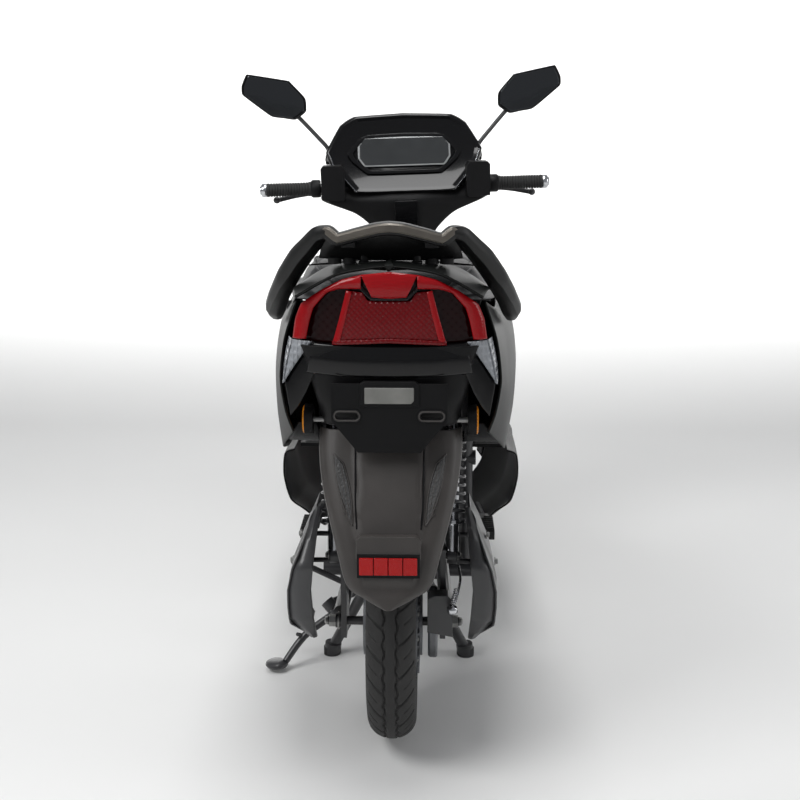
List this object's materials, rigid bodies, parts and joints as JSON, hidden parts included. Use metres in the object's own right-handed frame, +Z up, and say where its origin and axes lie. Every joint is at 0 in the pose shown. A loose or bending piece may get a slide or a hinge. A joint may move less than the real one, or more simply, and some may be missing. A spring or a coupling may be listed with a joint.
{
  "type": "electric moped scooter",
  "caption": "Electric moped scooter on its centre stand, with a hub motor, hinged seat, turning front end, two stands, grab rail and full body panels.",
  "frame": {"origin": "on the floor on the middle plane of the machine, about 11 mm from the middle of the overall length and 10 mm from the middle of the overall width, which the turned bars shift", "axes": "+X forward, +Y to the rider's left, +Z up"},
  "size_m": [1.8112, 0.7454, 1.2027],
  "materials": {
    "frame_paint": "satin black paint",
    "battery_case": "matt",
    "black_gloss": "gloss black",
    "black_plastic": "satin grained black",
    "panel_grey": "dark grey satin lacquer",
    "mudguard_plastic": "satin",
    "guard_metal": "dark grey satin paint",
    "rail_metal": "satin bronze grey",
    "red_lens": "gloss red lens",
    "clear_lens": "clear ribbed lens",
    "amber_lens": "amber lens",
    "polished_steel": "polished",
    "spring_steel": "black",
    "seat_cover": "black vinyl, leather grain",
    "tyre_rubber": "matt",
    "rim_paint": "satin dark",
    "motor_alloy": "cast",
    "fork_alloy": "satin",
    "caliper_paint": "red",
    "bar_steel": "black",
    "grip_rubber": "ribbed",
    "display_glass": "grey glossy window",
    "mirror_glass": "mirror",
    "disc_steel": "brushed"
  },
  "bodies": {
    "chassis": {"main_frame": "frame_paint", "battery_pack": "battery_case", "footboard": "black_plastic", "side_skirts": "black_plastic", "leg_shield": "black_plastic", "front_apron": "black_gloss", "front_indicators": "amber_lens", "seat_post_cover": "black_plastic", "side_panels": "panel_grey", "under_seat_box": "black_plastic", "tail_cover": "black_gloss", "tail_lamp": "red_lens", "rear_indicators": "clear_lens", "tail_underside": "black_plastic", "grab_rail": "rail_metal", "plate_bracket": "black_plastic", "side_reflectors": "amber_lens", "rear_mudguard": "mudguard_plastic", "rear_reflector": "red_lens", "swingarm": "frame_paint", "shock_absorbers": "polished_steel", "shock_springs": "spring_steel", "side_guards": "guard_metal", "rear_brake": "guard_metal", "pillion_footrests": "black_plastic"},
    "steering": {"front_fork": "fork_alloy", "front_mudguard": "black_gloss", "front_caliper": "caliper_paint", "handlebar": "bar_steel", "grips": "grip_rubber", "brake_levers": "bar_steel", "switch_housings": "black_plastic", "instrument_pod": "black_gloss", "handlebar_cover": "black_plastic", "display": "display_glass", "headlamp": "clear_lens", "mirrors": "black_plastic", "mirror_glasses": "mirror_glass"},
    "front_wheel": {"front_tyre": "tyre_rubber", "front_rim": "rim_paint", "brake_disc": "disc_steel"},
    "rear_wheel": {"rear_tyre": "tyre_rubber", "rear_rim": "rim_paint", "hub_motor": "motor_alloy"},
    "seat": {"seat_base": "black_plastic", "seat_cushion": "seat_cover"},
    "centre_stand": {"centre_stand": "frame_paint"},
    "side_stand": {"side_stand": "frame_paint"}
  },
  "joints": [
    {"name": "steering_turn", "type": "hinge", "parent": "chassis", "child": "steering", "pos_m": [0.66875, 0, 0.19825], "axis": [-0.4305, 0, 0.9026], "range_deg": [-45, 35]},
    {"name": "front_wheel_spin", "type": "hinge", "parent": "steering", "child": "front_wheel", "pos_m": [0.68496, 0.00126, 0.20598], "axis": [-0.063, 0.9976, -0.03], "continuous": true},
    {"name": "rear_wheel_spin", "type": "hinge", "parent": "chassis", "child": "rear_wheel", "pos_m": [-0.615, 0, 0.218], "axis": [0, 1, 0], "continuous": true},
    {"name": "seat_hinge", "type": "hinge", "parent": "chassis", "child": "seat", "pos_m": [0.021, 0, 0.7], "axis": [0, 1, 0], "range_deg": [0, 75]},
    {"name": "centre_stand_fold", "type": "hinge", "parent": "chassis", "child": "centre_stand", "pos_m": [-0.295, 0, 0.195], "axis": [0, 1, 0], "range_deg": [0, 80]},
    {"name": "side_stand_fold", "type": "hinge", "parent": "chassis", "child": "side_stand", "pos_m": [-0.285, 0.128, 0.104], "axis": [0.3035, 0.6745, 0.673], "range_deg": [0, 54.3]}
  ]
}
